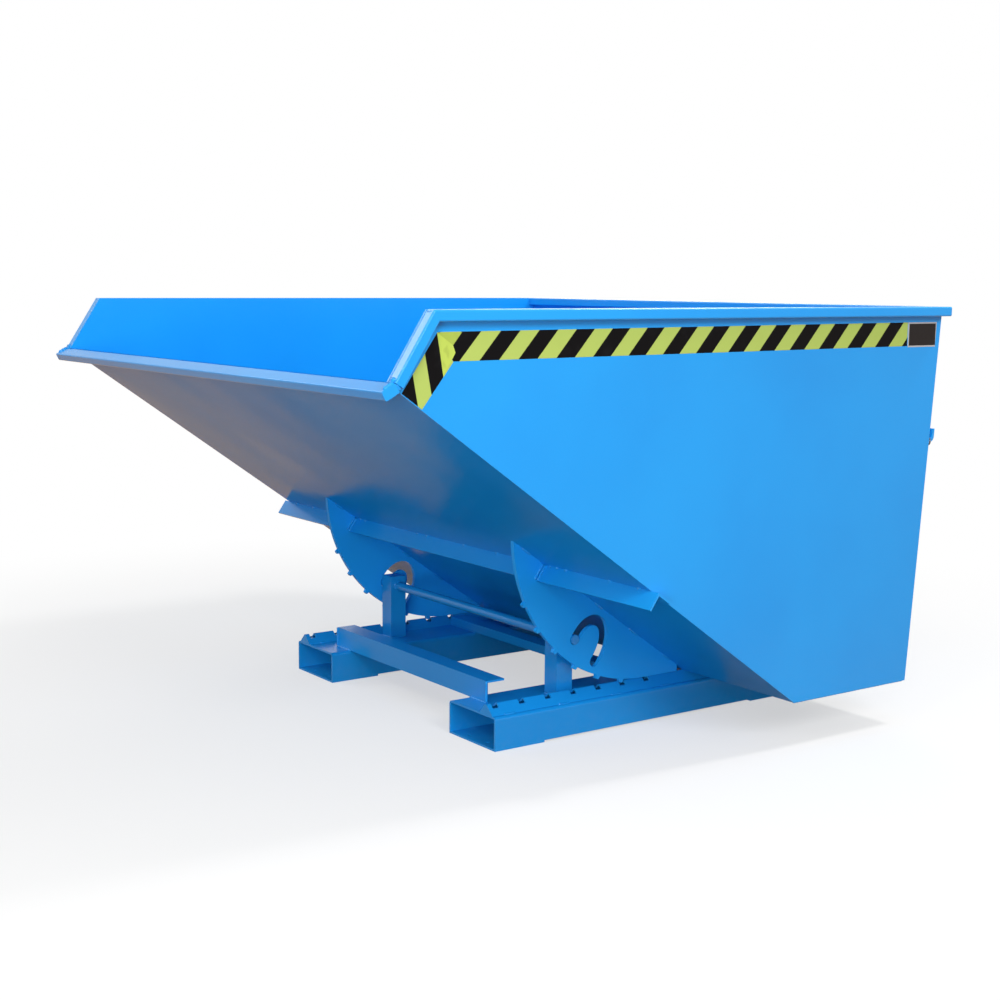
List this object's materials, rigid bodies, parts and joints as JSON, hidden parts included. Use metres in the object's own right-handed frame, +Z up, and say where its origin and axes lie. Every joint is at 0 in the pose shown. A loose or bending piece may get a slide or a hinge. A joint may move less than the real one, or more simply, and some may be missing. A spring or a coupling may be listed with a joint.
{
  "type": "self-tipping skip",
  "caption": "Open hopper with a sloping floor on toothed rockers that rolls forward along notched tracks on a base with fork pockets, held by a rear latch with a release cord.",
  "frame": {"origin": "on the floor, under the middle of the whole skip", "axes": "+X across to the pictured side, +Y to the rear along the forks, +Z up; the lip faces -Y"},
  "size_m": [1.8, 1.6768, 1.0723],
  "materials": {
    "body_paint": "semi-gloss",
    "bare_steel": "dull",
    "latch_paint": "semi-gloss",
    "cord": "woven"
  },
  "bodies": {
    "base": {"fork_pocket_right": "body_paint", "fork_pocket_left": "body_paint", "pocket_strap_front_right": "body_paint", "pocket_strap_front_left": "body_paint", "pocket_strap_rear_right": "body_paint", "pocket_strap_rear_left": "body_paint", "track_right": "body_paint", "track_left": "body_paint", "track_end_right": "body_paint", "track_end_left": "body_paint", "front_cross_angle": "body_paint", "middle_cross_bar": "body_paint", "rear_cross_bar": "body_paint", "post_right": "body_paint", "post_left": "body_paint", "post_cap_right": "body_paint", "post_cap_left": "body_paint", "guide_shaft": "body_paint"},
    "roll_carriage": {"release_cord": "cord"},
    "skip": {"side_panel_right": "body_paint", "side_panel_left": "body_paint", "floor_plate": "body_paint", "bottom_plate": "body_paint", "back_wall": "body_paint", "side_rim_right": "body_paint", "side_rim_left": "body_paint", "front_rim_right": "body_paint", "front_rim_left": "body_paint", "rear_rim": "body_paint", "pouring_lip": "body_paint", "lip_cap_right": "body_paint", "lip_cap_left": "body_paint", "floor_brace_middle": "body_paint", "floor_brace_right": "body_paint", "floor_brace_left": "body_paint", "rocker_right": "body_paint", "rocker_left": "body_paint", "latch_bracket": "body_paint", "latch_pin": "bare_steel", "cord_hook": "body_paint", "cord_ring": "bare_steel"},
    "latch": {"latch_lever": "latch_paint", "cord_knot": "cord"}
  },
  "joints": [
    {"name": "roll_travel", "type": "slide", "parent": "base", "child": "roll_carriage", "axis": [0, -1, 0], "range_m": [0, 0.4725]},
    {"name": "tip", "type": "hinge", "parent": "roll_carriage", "child": "skip", "pos_m": [0, 0.20025, 0.5203], "axis": [1, 0, 0], "range_deg": [0, 66], "deforming": ["release_cord"]},
    {"name": "latch_swing", "type": "hinge", "parent": "skip", "child": "latch", "pos_m": [0, 0.78217, 0.2], "axis": [-1, 0, 0], "range_deg": [0, 18]}
  ],
  "couplings": [
    {"joint": "roll_travel", "follows": "tip", "m_per_rad": 0.41}
  ]
}
